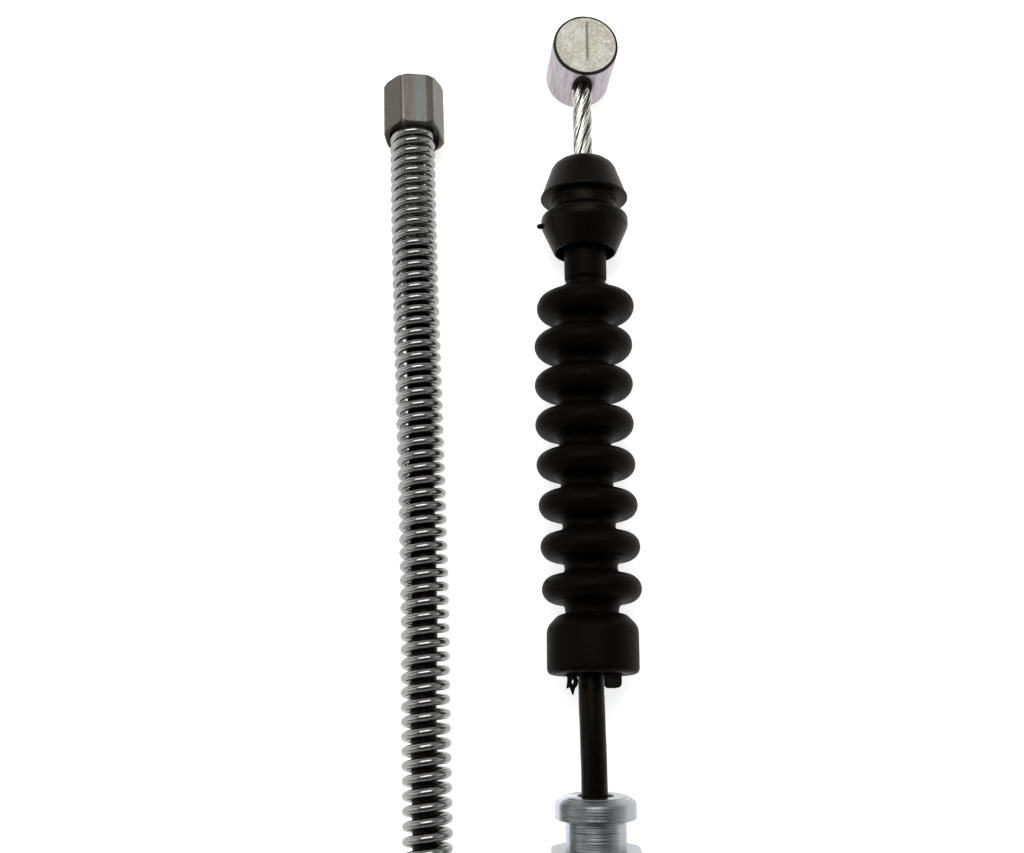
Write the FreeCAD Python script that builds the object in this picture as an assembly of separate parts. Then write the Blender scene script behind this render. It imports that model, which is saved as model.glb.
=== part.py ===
import FreeCAD, Part
import math
import os

from FreeCAD import Placement, Rotation, Vector

# A Bowden pull cable lying on a flat surface, with its two ends side by side.
# Millimetres. +Z is up and z = 0 is the surface that it lies on. Both ends point along +Y.
# The lever end (barrel, boot, ferrule) is on the +X side, the wheel end (spring) on the -X side.
# The origin is at the bottom centre of everything but the free conduit and its coil.
# Every piece is made along its own Y axis, then set in place by the frame of its end.

# Inner cable
STRAND_R = 1.6
COAT_R = 1.95
RUNNING_GAP = 0.05

# Conduit, from the outside in: jacket, steel armour, liner
CONDUIT_R = 4.5
ARMOUR_R = 3.7
LINER_R = 2.6
BORE_R = COAT_R + RUNNING_GAP
CRIMP_R = 5.6
CASING_LENGTH = 32.0
CONDUIT_GAP = 0.25
MOUTH_R = 2.7
TAIL_R = 4.45

# Lever end: distances are from the ferrule's mouth, towards the barrel
LEVER_X = 12.7
MOUTH_Y = -39.6
LEVER_DROOP = 1.6
FERRULE_RISE = 5.5
FLOOR_GAP = 0.06
FLANGE_R = 6.0
FLANGE_T = 2.8
NECK_END = 7.4
HEX_CORNER_R = 7.5
HEX_T = 4.6
TAIL_END = 13.0
BEND_START = 1.0
BEND_END = 13.0
COLLAR_BOTTOM = 17.5
COLLAR_SHOULDER = 24.7
COLLAR_TOP = 26.4
COLLAR_R = 6.9
LIP_R = 4.4
PLUG_START = 22.4
CONVOLUTIONS = 8
FIRST_CONVOLUTION = 30.2
PITCH = 6.41
CROWN_R_LOW = 7.5
CROWN_R_HIGH = 7.75
CROWN_ARC = 2.05
ROOT_R = 4.05
WALL = 1.0
CUFF_START = 79.4
CUFF_END = 91.2
CUFF_R = 3.36
CUFF_NECK_R = 2.97
CUFF_BORE_R = 2.25
COAT_END = 65.0
CAP_BOTTOM = 84.4
CAP_TOP = 100.2
CAP_R = 7.05
CAP_CORE_R = 5.3
BARREL_AT = 118.4
BARREL_R = 5.35
BARREL_H = 11.85
BARREL_ROLL = 4.6

# Wheel end: distances are from the spring seat, towards the tip
WHEEL_X = -11.9
SEAT_Y = -51.4
WHEEL_DROOP = 1.7
WHEEL_YAW = 1.6
SPRING_R = 3.75
WIRE_R = 0.7
SPRING_GAP = 0.05
SPRING_TURNS = 59
SPRING_PIECES = 12
FITTING_START = 118.4
FITTING_LENGTH = 8.5
FITTING_BEVEL = 0.4
FITTING_CORNER_R = 5.1
FITTING_TURN = -11.2
STRAND_STOP = 124.0
WHEEL_COAT_END = 98.0
WHEEL_STUB = 6.0
SEAT_T = 1.2
NOSE_END = 4.0
SHANK_R = 7.0
SHANK_END = 13.0
BACK_FLANGE_R = 9.0
BACK_FLANGE_T = 2.8
WHEEL_TAIL_END = 19.0

# The conduit's put-away length is a coil of four turns, two beside each other and two high.
COIL_CENTRE_X = 5.4
COIL_CENTRE_Y = -168.0
COIL_MID_R = 45.0
COIL_EDGE_R = 3.9
TIE_T = 0.8
TIE_W = 5.0
TIE_ANGLES = (175.0, 270.0, 5.0)


def outline(points):
    """The edges of a polyline in the XY plane, from (radius, distance) corners."""
    corners = [Vector(r, y, 0) for r, y in points]
    return [Part.LineSegment(a, b).toShape() for a, b in zip(corners, corners[1:])]


def arc(centre, radius, start, end):
    """An arc in the XY plane, between two angles in degrees from the X axis."""
    points = []
    for angle in (start, (start + end) / 2, end):
        a = math.radians(angle)
        points.append(Vector(centre[0] + radius * math.cos(a), centre[1] + radius * math.sin(a), 0))
    return Part.Arc(*points).toShape()


def turned(edges):
    """A solid of revolution about the Y axis, from a closed outline."""
    face = Part.Face(Part.Wire(Part.__sortEdges__(edges)))
    return face.revolve(Vector(0, 0, 0), Vector(0, 1, 0), 360)


def revolved(points):
    return turned(outline(points + [points[0]]))


def tube(outer, inner, start, end):
    return revolved([(inner, start), (outer, start), (outer, end), (inner, end)])


def rod(radius, start, end):
    return Part.makeCylinder(radius, end - start, Vector(0, start, 0), Vector(0, 1, 0))


def hexagon(corner_r, start, end, turn=0.0):
    """A hexagonal prism along Y, with one corner at that angle above the X axis."""
    corners = []
    for i in range(7):
        a = math.radians(turn + 60.0 * i)
        corners.append(Vector(corner_r * math.cos(a), start, corner_r * math.sin(a)))
    return Part.Face(Part.makePolygon(corners)).extrude(Vector(0, end - start, 0))


def swept(edges, radius):
    """A round rod along a path that starts with a straight run."""
    path = Part.Wire(edges)
    start = edges[0].valueAt(edges[0].FirstParameter)
    along = edges[0].tangentAt(edges[0].FirstParameter)
    section = Part.Wire([Part.makeCircle(radius, start, along)])
    return path.makePipeShell([section], True, False)


def frame_at(point, yaw, rise):
    """Sets +Y along a direction turned by yaw towards -X, and raised by rise, in degrees."""
    turn = Rotation(Vector(0, 0, 1), yaw).multiply(Rotation(Vector(1, 0, 0), rise))
    return Placement(point, turn)


def placed(shape, frame):
    shape = shape.copy()
    shape.Placement = frame.multiply(shape.Placement)
    return shape


# ---------------------------------------------------------------- where the two ends lie

# The last convolution touches the floor, and the boot rises from it towards the ferrule.
LAST_CONVOLUTION = FIRST_CONVOLUTION + (CONVOLUTIONS - 1) * PITCH
LEVER_DIP = math.sin(math.radians(LEVER_DROOP))
LEVER_Z = CROWN_R_HIGH + FLOOR_GAP + LAST_CONVOLUTION * LEVER_DIP
LEVER = frame_at(Vector(LEVER_X, MOUTH_Y, LEVER_Z), 0.0, -LEVER_DROOP)

# The wheel end rests on its flange and on the tip of its end fitting.
WHEEL_DIP = math.sin(math.radians(WHEEL_DROOP))
WHEEL_Z = BACK_FLANGE_R + FLOOR_GAP - SHANK_END * WHEEL_DIP
WHEEL = frame_at(Vector(WHEEL_X, SEAT_Y, WHEEL_Z), WHEEL_YAW, -WHEEL_DROOP)

# The coated cable rises out of the ferrule and bends gently over to lie along the boot.
BEND_R = (BEND_END - BEND_START) / math.radians(LEVER_DROOP + FERRULE_RISE)
BEND_STOP = LEVER.multVec(Vector(0, BEND_END, 0))
BEND_CENTRE = LEVER.multVec(Vector(0, BEND_END, -BEND_R))
BEND_FROM = frame_at(BEND_CENTRE, 0.0, FERRULE_RISE).multVec(Vector(0, 0, BEND_R))
MOUTH = frame_at(BEND_FROM, 0.0, FERRULE_RISE).multVec(Vector(0, -BEND_START, 0))
FERRULE = frame_at(MOUTH, 0.0, FERRULE_RISE)


# ---------------------------------------------------------------- lever end, on the inner cable


def bent_core(radius, far_end):
    """The inner cable's outline: straight in the ferrule, one gentle bend, straight in the boot."""
    back = FERRULE.multVec(Vector(0, 0.5 - CASING_LENGTH, 0))
    middle = frame_at(BEND_CENTRE, 0.0, (FERRULE_RISE - LEVER_DROOP) / 2)
    front = LEVER.multVec(Vector(0, far_end, 0))
    path = [
        Part.LineSegment(back, BEND_FROM).toShape(),
        Part.Arc(BEND_FROM, middle.multVec(Vector(0, 0, BEND_R)), BEND_STOP).toShape(),
        Part.LineSegment(BEND_STOP, front).toShape(),
    ]
    return swept(path, radius)


def lever_strand():
    return bent_core(STRAND_R, BARREL_AT + STRAND_R)


def lever_core_coat():
    return bent_core(COAT_R, COAT_END).cut(bent_core(STRAND_R, COAT_END + 1.0))


def barrel_end():
    """Cross barrel cast on the strand's end, with broken edges and a small gate recess."""
    edge = 0.3
    half = BARREL_H / 2
    profile = [
        (0, -half),
        (BARREL_R - edge, -half),
        (BARREL_R, edge - half),
        (BARREL_R, half - edge),
        (BARREL_R - edge, half),
        (0, half),
    ]
    body = revolved(profile)
    body.rotate(Vector(0, 0, 0), Vector(1, 0, 0), 90)
    body.rotate(Vector(0, 0, 0), Vector(0, 1, 0), BARREL_ROLL)
    body.translate(Vector(0, BARREL_AT, 0))
    recess = rod(STRAND_R + 0.6, BARREL_AT - BARREL_R - 1.0, BARREL_AT - BARREL_R + 1.0)
    socket = rod(STRAND_R, BARREL_AT - BARREL_R, BARREL_AT + STRAND_R)
    return placed(body.cut(recess).cut(socket), LEVER)


# ---------------------------------------------------------------- boot


def bellows_side(depth):
    """The bellows' side in section, from its first root to its last: outside, or that deep inside."""
    root_arc = PITCH / 2 - CROWN_ARC
    root_centre = ROOT_R + root_arc
    edges = []
    for i in range(CONVOLUTIONS):
        y = FIRST_CONVOLUTION + i * PITCH
        crown = CROWN_R_LOW + (CROWN_R_HIGH - CROWN_R_LOW) * i / (CONVOLUTIONS - 1) - CROWN_ARC
        side = CROWN_ARC - depth
        edges.append(arc((root_centre, y - PITCH / 2), root_arc + depth, 180, 90))
        edges += outline([(root_centre, y - side), (crown, y - side)])
        edges.append(arc((crown, y), side, -90, 90))
        edges += outline([(crown, y + side), (root_centre, y + side)])
        edges.append(arc((root_centre, y + PITCH / 2), root_arc + depth, 270, 180))
    return edges


def bellows():
    """Eight convolutions, a plug that the collar holds, and a cuff that the cap holds."""
    low = FIRST_CONVOLUTION - PITCH / 2
    high = LAST_CONVOLUTION + PITCH / 2
    cuff_edge = 0.8
    top = [
        (ROOT_R, high),
        (CUFF_NECK_R, high + 0.2),
        (CUFF_NECK_R, CUFF_START),
        (CUFF_R, CUFF_START + cuff_edge),
        (CUFF_R, CUFF_END),
        (CUFF_BORE_R, CUFF_END),
        (CUFF_BORE_R, high - 0.2),
        (ROOT_R - WALL, high),
    ]
    bottom = [
        (ROOT_R - WALL, low),
        (ROOT_R - WALL, PLUG_START),
        (ROOT_R, PLUG_START),
        (ROOT_R, low),
    ]
    edges = bellows_side(0.0) + outline(top) + bellows_side(WALL) + outline(bottom)
    return placed(turned(edges), LEVER)


def flash_tab(low_x, high_x, length):
    """A torn flap of moulding flash that hangs from the collar's lip, on its upper side."""
    ring = tube(LIP_R + 0.05, LIP_R - 0.45, COLLAR_BOTTOM - length, COLLAR_BOTTOM + 0.4)
    corner = Vector(low_x, COLLAR_BOTTOM - length, 0.5)
    keep = Part.makeBox(high_x - low_x, length + 1.0, LIP_R + 1.0, corner)
    return ring.common(keep)


def boot_collar():
    """Snap collar: a groove inside its lip takes the ferrule's flange, and its top takes the bellows."""
    groove_r = FLANGE_R + RUNNING_GAP
    profile = [
        (LIP_R, COLLAR_BOTTOM),
        (COLLAR_R - 0.6, COLLAR_BOTTOM),
        (COLLAR_R, COLLAR_BOTTOM + 0.9),
        (COLLAR_R, COLLAR_SHOULDER),
        (ROOT_R + 1.0, COLLAR_TOP),
        (ROOT_R + RUNNING_GAP, COLLAR_TOP),
        (ROOT_R + RUNNING_GAP, PLUG_START - 0.2),
        (groove_r, PLUG_START - 0.6),
        (groove_r, COLLAR_BOTTOM + 1.4),
        (LIP_R, COLLAR_BOTTOM + 1.1),
    ]
    collar = revolved(profile)
    left = flash_tab(-4.35, -1.95, 3.0)
    hole = Part.makeCylinder(0.6, LIP_R + 1.0, Vector(-3.1, COLLAR_BOTTOM - 1.4, 0), Vector(0, 0, 1))
    right = flash_tab(1.8, 4.4, 2.2)
    return placed(collar.fuse([left.cut(hole), right]).removeSplitter(), LEVER)


def boot_cap():
    """Hard cap with a groove round it; its hollow underside takes the bellows' cuff."""
    rim = CAP_BOTTOM + 9.2
    outside = [
        (CUFF_R + 1.1, CAP_BOTTOM),
        (4.95, CAP_BOTTOM),
        (CAP_R - 0.05, CAP_BOTTOM + 4.5),
        (CAP_R - 0.05, CAP_BOTTOM + 5.9),
        (CAP_CORE_R, CAP_BOTTOM + 7.0),
        (CAP_CORE_R, rim - 0.1),
        (CAP_R, rim),
        (CAP_R, rim + 0.5),
        (5.6, CAP_TOP - 2.4),
    ]
    shoulder = Part.Arc(
        Vector(5.6, CAP_TOP - 2.4, 0),
        Vector(4.85, CAP_TOP - 0.8, 0),
        Vector(3.3, CAP_TOP, 0),
    ).toShape()
    inside = [
        (3.3, CAP_TOP),
        (STRAND_R + RUNNING_GAP, CAP_TOP),
        (STRAND_R + RUNNING_GAP, CUFF_END + 0.1),
        (CUFF_R + RUNNING_GAP, CUFF_END + 0.1),
        (CUFF_R + RUNNING_GAP, CAP_BOTTOM + 4.0),
        (CUFF_R + 1.1, CAP_BOTTOM),
    ]
    return placed(turned(outline(outside) + [shoulder] + outline(inside)), LEVER)


# ---------------------------------------------------------------- lever end, on the conduit


def lever_ferrule():
    """Turned nose with a bevelled face, a neck for the bracket, and a tail inside the crimp sleeve."""
    profile = [
        (MOUTH_R, 0),
        (4.6, 0),
        (4.75, -0.18),
        (5.25, -0.18),
        (FLANGE_R, -0.9),
        (FLANGE_R, -FLANGE_T),
        (TAIL_R, -FLANGE_T),
        (TAIL_R, -TAIL_END),
        (LINER_R + RUNNING_GAP, -TAIL_END),
        (LINER_R + RUNNING_GAP, -3.6),
        (3.3, -3.6),
        (3.3, -1.6),
        (MOUTH_R, -1.6),
    ]
    return placed(revolved(profile), FERRULE)


def lever_hex_nut():
    start = -NECK_END - HEX_T
    prism = hexagon(HEX_CORNER_R, start, -NECK_END, 30.0)
    bevel = 0.7
    cone = [
        (0, start),
        (HEX_CORNER_R - bevel, start),
        (HEX_CORNER_R + 0.1, start + bevel),
        (HEX_CORNER_R + 0.1, -NECK_END - bevel),
        (HEX_CORNER_R - bevel, -NECK_END),
        (0, -NECK_END),
    ]
    nut = prism.common(revolved(cone)).cut(rod(TAIL_R, start - 1.0, 1.0 - NECK_END))
    return placed(nut, FERRULE)


def crimp_sleeve(front, frame):
    """Sleeve pressed round the conduit's end, with two crimped rings."""
    dent = 0.45
    profile = [(CONDUIT_R, -CASING_LENGTH), (CRIMP_R - 0.3, -CASING_LENGTH), (CRIMP_R, 0.3 - CASING_LENGTH)]
    for y in (8.0 - CASING_LENGTH, 12.5 - CASING_LENGTH):
        profile += [(CRIMP_R, y - 1.3), (CRIMP_R - dent, y - 0.7)]
        profile += [(CRIMP_R - dent, y + 0.7), (CRIMP_R, y + 1.3)]
    profile += [(CRIMP_R, front - 0.3), (CRIMP_R - 0.3, front), (CONDUIT_R, front)]
    return placed(revolved(profile), frame)


def lever_crimp_sleeve():
    return crimp_sleeve(-NECK_END - HEX_T - 0.2, FERRULE)


def wiper_seal(back, front, frame):
    """Rubber ring with a waist, whose inner edge wipes the coated cable."""
    middle = (back + front) / 2
    profile = [
        (BORE_R, back),
        (3.25, back),
        (3.25, front),
        (BORE_R, front),
        (BORE_R + 0.4, middle),
    ]
    return placed(revolved(profile), frame)


def lever_wiper_seal():
    return wiper_seal(-3.5, -1.7, FERRULE)


def lever_liner():
    return placed(tube(LINER_R, BORE_R, -CASING_LENGTH, -3.8), FERRULE)


def lever_armour_end():
    return placed(tube(ARMOUR_R, LINER_R + RUNNING_GAP, -CASING_LENGTH, -TAIL_END - 0.1), FERRULE)


def lever_jacket_end():
    return placed(tube(CONDUIT_R, ARMOUR_R, -CASING_LENGTH, -TAIL_END - 1.5), FERRULE)


# ---------------------------------------------------------------- wheel end


def wheel_strand():
    return placed(rod(STRAND_R, -WHEEL_STUB, STRAND_STOP), WHEEL)


def wheel_core_coat():
    return placed(tube(COAT_R, STRAND_R, -WHEEL_STUB, WHEEL_COAT_END), WHEEL)


def end_fitting():
    """Hexagonal fitting crimped on the strand, bevelled towards the spring."""
    tip = FITTING_START + FITTING_LENGTH
    prism = hexagon(FITTING_CORNER_R, FITTING_START, tip, FITTING_TURN)
    shape = [
        (0, FITTING_START),
        (FITTING_CORNER_R - 0.1 - FITTING_BEVEL, FITTING_START),
        (FITTING_CORNER_R - 0.1, FITTING_START + FITTING_BEVEL),
        (FITTING_CORNER_R - 0.1, tip - 1.0),
        (4.4, tip),
        (0, tip),
    ]
    body = prism.common(revolved(shape)).cut(rod(STRAND_R, FITTING_START - 1.0, STRAND_STOP))
    return placed(body, WHEEL)


def return_spring():
    """Right-handed compression spring: short straight pieces of wire, joined round each turn."""
    height = FITTING_START - 2 * WIRE_R - 2 * SPRING_GAP
    mean_r = SPRING_R - WIRE_R
    pitch = height / SPRING_TURNS
    along = Vector(0, mean_r, pitch / (2 * math.pi))
    sections = []
    for i in range(SPRING_PIECES + 1):
        section = Part.makeCircle(WIRE_R, Vector(mean_r, 0, 0), along)
        section.rotate(Vector(0, 0, 0), Vector(0, 0, 1), 360 * i / SPRING_PIECES)
        section.translate(Vector(0, 0, pitch * i / SPRING_PIECES))
        sections.append(Part.Wire([section]))
    turn = Part.makeLoft(sections, False, True)
    faces = [Part.Face(sections[0]), Part.Face(sections[0].translated(Vector(0, 0, height)))]
    for k in range(SPRING_TURNS):
        faces += turn.translated(Vector(0, 0, pitch * k)).Faces
    skin = Part.makeShell(faces)
    skin.sewShape()
    spring = Part.Solid(skin)
    spring.rotate(Vector(0, 0, 0), Vector(1, 0, 0), -90)
    spring.translate(Vector(0, WIRE_R + SPRING_GAP, 0))
    return placed(spring, WHEEL)


def spring_seat():
    """Cupped washer that centres the spring on the ferrule's nose."""
    profile = [(2.2, -SEAT_T), (4.9, -SEAT_T), (4.9, 1.0), (4.0, 1.0), (4.0, 0), (2.2, 0)]
    return placed(revolved(profile), WHEEL)


def wheel_ferrule():
    """Die-cast fitting: nose, shank with a clip groove, backing-plate flange and crimped tail."""
    groove = 1.2
    flange_back = -SHANK_END - BACK_FLANGE_T
    profile = [
        (3.3, -SEAT_T),
        (4.6, -SEAT_T),
        (4.6, -NOSE_END),
        (SHANK_R - 0.5, -NOSE_END),
        (SHANK_R, -NOSE_END - 0.5),
        (SHANK_R, -NOSE_END - 1.5),
        (SHANK_R - 0.8, -NOSE_END - 1.5),
        (SHANK_R - 0.8, -NOSE_END - 1.5 - groove),
        (SHANK_R, -NOSE_END - 1.5 - groove),
        (SHANK_R, -SHANK_END),
        (BACK_FLANGE_R, -SHANK_END),
        (BACK_FLANGE_R, flange_back),
        (TAIL_R, flange_back),
        (TAIL_R, -WHEEL_TAIL_END),
        (LINER_R + RUNNING_GAP, -WHEEL_TAIL_END),
        (LINER_R + RUNNING_GAP, -3.5),
        (3.3, -3.5),
    ]
    return placed(revolved(profile), WHEEL)


def wheel_wiper_seal():
    return wiper_seal(-3.4, -1.3, WHEEL)


def wheel_crimp_sleeve():
    return crimp_sleeve(-SHANK_END - BACK_FLANGE_T - 0.1, WHEEL)


def wheel_liner():
    return placed(tube(LINER_R, BORE_R, -CASING_LENGTH, -3.7), WHEEL)


def wheel_armour_end():
    return placed(tube(ARMOUR_R, LINER_R + RUNNING_GAP, -CASING_LENGTH, -WHEEL_TAIL_END - 0.1), WHEEL)


def wheel_jacket_end():
    return placed(tube(CONDUIT_R, ARMOUR_R, -CASING_LENGTH, -WHEEL_TAIL_END - 1.0), WHEEL)


# ---------------------------------------------------------------- free conduit

# Each lead's route runs from its ferrule to the coil's outer turn, which it joins along a tangent.
LEVER_ROUTE = [
    FERRULE.multVec(Vector(0, -CASING_LENGTH - CONDUIT_GAP, 0)),
    Vector(12.7, -86.2, 5.3),
    Vector(17.2, -104.0, 5.3),
    Vector(26.9, -119.4, 5.3),
    Vector(40.4, -133.0, 5.3),
]
WHEEL_ROUTE = [
    WHEEL.multVec(Vector(0, -CASING_LENGTH - CONDUIT_GAP, 0)),
    Vector(-10.2, -97.4, 10.6),
    Vector(-13.9, -111.2, 12.4),
    Vector(-21.0, -123.2, 13.8),
    Vector(-29.6, -133.0, 14.3),
]


def lead(name, route):
    """A solid rod along straight runs joined by tangent arcs, as large as the runs allow."""
    edges = []
    radii = []
    start = route[0]
    for before, corner, after in zip(route, route[1:], route[2:]):
        back = (before - corner).normalize()
        ahead = (after - corner).normalize()
        half_turn = (math.pi - back.getAngle(ahead)) / 2
        trim = 0.45 * min(before.distanceToPoint(corner), after.distanceToPoint(corner))
        radius = trim / math.tan(half_turn)
        inward = (back + ahead).normalize()
        middle = corner + inward * (radius / math.cos(half_turn) - radius)
        edges.append(Part.LineSegment(start, corner + back * trim).toShape())
        edges.append(Part.Arc(corner + back * trim, middle, corner + ahead * trim).toShape())
        start = corner + ahead * trim
        radii.append(radius)
    edges.append(Part.LineSegment(start, route[-1]).toShape())
    shape = swept(edges, CONDUIT_R)
    length = sum(e.Length for e in edges)
    expected = math.pi * CONDUIT_R**2 * length
    print(name, "arc radii", [round(r, 1) for r in radii], "length", round(length, 1))
    print(name, "volume over section times length", round(shape.Volume / expected, 4))
    return shape


def coil_at(shape):
    """Moves a solid made round the Z axis to the coil's place."""
    shape.translate(Vector(COIL_CENTRE_X, COIL_CENTRE_Y, 0))
    return shape


def conduit_coil():
    """The outer shape of four turns, with rounded edges."""
    width = 2 * CONDUIT_R
    low = Vector(COIL_MID_R, 0, TIE_T + width)
    corners = [
        low + Vector(-width, 0, -width),
        low + Vector(width, 0, -width),
        low + Vector(width, 0, width),
        low + Vector(-width, 0, width),
    ]
    face = Part.Face(Part.makePolygon(corners + corners[:1]))
    ring = face.revolve(Vector(0, 0, 0), Vector(0, 0, 1), 360)
    return coil_at(ring.makeFillet(COIL_EDGE_R, ring.Edges))


def rounded(box, edge_length, radius):
    """Rounds the edges of a box that have that length."""
    return box.makeFillet(radius, [e for e in box.Edges if abs(e.Length - edge_length) < 0.01])


def coil_ties():
    """Three straps round the coil, as separate solids."""
    half = 2 * CONDUIT_R + TIE_T
    straps = []
    for angle in TIE_ANGLES:
        centre = Vector(COIL_MID_R, 0, half)
        outer = Part.makeBox(2 * half, TIE_W, 2 * half, centre - Vector(half, TIE_W / 2, half))
        outer = rounded(outer, TIE_W, COIL_EDGE_R + TIE_T)
        inner_half = half - TIE_T
        # The coil bends away inside the strap's width, so the strap's window is a little wider.
        slack = 0.12
        corner = centre - Vector(inner_half + slack, TIE_W, inner_half)
        inner = Part.makeBox(2 * (inner_half + slack), 2 * TIE_W, 2 * inner_half, corner)
        inner = rounded(inner, 2 * TIE_W, COIL_EDGE_R)
        strap = outer.cut(inner)
        strap.rotate(Vector(0, 0, 0), Vector(0, 0, 1), angle)
        straps.append(coil_at(strap))
    return Part.makeCompound(straps)


PIECES = {
    "barrel_end": barrel_end,
    "lever_strand": lever_strand,
    "lever_core_coat": lever_core_coat,
    "boot_cap": boot_cap,
    "bellows": bellows,
    "boot_collar": boot_collar,
    "lever_ferrule": lever_ferrule,
    "lever_hex_nut": lever_hex_nut,
    "lever_crimp_sleeve": lever_crimp_sleeve,
    "lever_wiper_seal": lever_wiper_seal,
    "lever_liner": lever_liner,
    "lever_armour_end": lever_armour_end,
    "lever_jacket_end": lever_jacket_end,
    "end_fitting": end_fitting,
    "wheel_strand": wheel_strand,
    "wheel_core_coat": wheel_core_coat,
    "return_spring": return_spring,
    "spring_seat": spring_seat,
    "wheel_ferrule": wheel_ferrule,
    "wheel_wiper_seal": wheel_wiper_seal,
    "wheel_crimp_sleeve": wheel_crimp_sleeve,
    "wheel_liner": wheel_liner,
    "wheel_armour_end": wheel_armour_end,
    "wheel_jacket_end": wheel_jacket_end,
    "lever_conduit": lambda: lead("lever_conduit", LEVER_ROUTE),
    "wheel_conduit": lambda: lead("wheel_conduit", WHEEL_ROUTE),
    "conduit_coil": conduit_coil,
    "coil_ties": coil_ties,
}

os.makedirs("parts", exist_ok=True)
for name, make in PIECES.items():
    shape = make()
    if not shape.isValid():
        raise ValueError(name + " is not a valid solid")
    shape.exportStep("parts/" + name + ".step")
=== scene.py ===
import math

import bmesh
import bpy
from mathutils import Matrix, Vector, noise


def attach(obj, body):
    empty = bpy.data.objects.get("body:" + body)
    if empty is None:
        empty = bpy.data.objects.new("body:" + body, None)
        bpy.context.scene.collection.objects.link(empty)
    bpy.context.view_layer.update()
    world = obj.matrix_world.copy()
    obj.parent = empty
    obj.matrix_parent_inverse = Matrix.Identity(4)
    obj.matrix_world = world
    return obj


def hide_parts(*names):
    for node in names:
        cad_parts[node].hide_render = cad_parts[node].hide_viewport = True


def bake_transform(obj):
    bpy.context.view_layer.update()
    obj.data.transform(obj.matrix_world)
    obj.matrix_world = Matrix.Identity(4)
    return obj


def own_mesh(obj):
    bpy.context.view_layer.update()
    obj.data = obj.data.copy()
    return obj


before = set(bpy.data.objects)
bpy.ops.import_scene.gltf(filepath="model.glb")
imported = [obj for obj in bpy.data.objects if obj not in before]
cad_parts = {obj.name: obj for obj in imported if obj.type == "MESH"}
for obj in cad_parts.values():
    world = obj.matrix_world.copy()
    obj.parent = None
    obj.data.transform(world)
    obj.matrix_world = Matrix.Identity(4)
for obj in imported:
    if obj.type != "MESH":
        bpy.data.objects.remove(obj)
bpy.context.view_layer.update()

# Sizes are in millimetres in each end's own frame, as in the CAD source, and are scaled to metres
# when a mesh is made. +Y runs along an end towards its tip, and +Z is up.
MM = 0.001
TAU = 2 * math.pi


def frame_at(point, yaw, rise):
    """A frame at the point, turned about Z and then tipped up about its own X, in degrees."""
    turn = Matrix.Rotation(math.radians(yaw), 4, "Z") @ Matrix.Rotation(math.radians(rise), 4, "X")
    return Matrix.Translation(Vector(point)) @ turn


def smooth(a, b, x):
    """A soft step from 0 at a to 1 at b."""
    t = min(max((x - a) / (b - a), 0.0), 1.0)
    return t * t * (3 - 2 * t)


# LEVER is the frame of the lever end's boot and barrel, WHEEL that of the wheel end, and FERRULE that of
# the lever end's ferrule, which the cable bends down to.
CASING_LENGTH, CONDUIT_GAP, CONDUIT_R = 32.0, 0.25, 4.5
CROWN_R_LOW, CROWN_R_HIGH, CROWN_ARC = 7.55, 7.75, 2.05
WHEEL_FLANGE_R, WHEEL_FLANGE_FRONT = 9.0, -13.0
FIRST_CONVOLUTION, CONVOLUTIONS, PITCH = 30.2, 8, 6.41
FLOOR_GAP = 0.06
LEVER_DROOP, FERRULE_RISE, BEND_START, BEND_END = 1.6, 5.5, 1.0, 13.0
LAST_CONVOLUTION = FIRST_CONVOLUTION + (CONVOLUTIONS - 1) * PITCH
LEVER_Z = CROWN_R_HIGH + FLOOR_GAP + LAST_CONVOLUTION * math.sin(math.radians(LEVER_DROOP))
LEVER_X, LEVER_Y = 12.7, -39.6
LEVER = frame_at((LEVER_X, LEVER_Y, LEVER_Z), 0.0, -LEVER_DROOP)
WHEEL_DROOP, WHEEL_YAW = 1.7, 1.6
WHEEL_Z = WHEEL_FLANGE_R + FLOOR_GAP + WHEEL_FLANGE_FRONT * math.sin(math.radians(WHEEL_DROOP))
WHEEL = frame_at((-11.9, -51.4, WHEEL_Z), WHEEL_YAW, -WHEEL_DROOP)
BEND_R = (BEND_END - BEND_START) / math.radians(LEVER_DROOP + FERRULE_RISE)
BEND_CENTRE = LEVER @ Vector((0, BEND_END, -BEND_R))
BEND_FROM = frame_at(BEND_CENTRE, 0.0, FERRULE_RISE) @ Vector((0, 0, BEND_R))
FERRULE_AT = frame_at(BEND_FROM, 0.0, FERRULE_RISE) @ Vector((0, -BEND_START, 0))
FERRULE = frame_at(FERRULE_AT, 0.0, FERRULE_RISE)


# ---------------------------------------------------------------- camera

CAMERA_AIM = Vector((0.8, 16.14, 7.8))
CAMERA_TILT, CAMERA_ROLL = 13.0, -0.3
CAMERA_DISTANCE = 210.6
FOCAL_LENGTH, SENSOR_WIDTH = 47.46, 36.0

camera_data = bpy.data.cameras.new("camera")
camera_data.lens = FOCAL_LENGTH
camera_data.sensor_width = SENSOR_WIDTH
camera_data.clip_start = 0.005
camera_data.clip_end = 20.0
camera_data.dof.use_dof = False
camera = bpy.data.objects.new("camera", camera_data)
bpy.context.scene.collection.objects.link(camera)
looking = Vector((0.0, math.sin(math.radians(CAMERA_TILT)), -math.cos(math.radians(CAMERA_TILT))))
camera.location = (CAMERA_AIM - looking * CAMERA_DISTANCE) * MM
camera.rotation_mode = "QUATERNION"
camera.rotation_quaternion = looking.to_track_quat("-Z", "Y")
roll = Matrix.Rotation(math.radians(CAMERA_ROLL), 4, "Z").to_quaternion()
camera.rotation_quaternion = camera.rotation_quaternion @ roll
bpy.context.scene.camera = camera


# ---------------------------------------------------------------- free conduit

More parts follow.
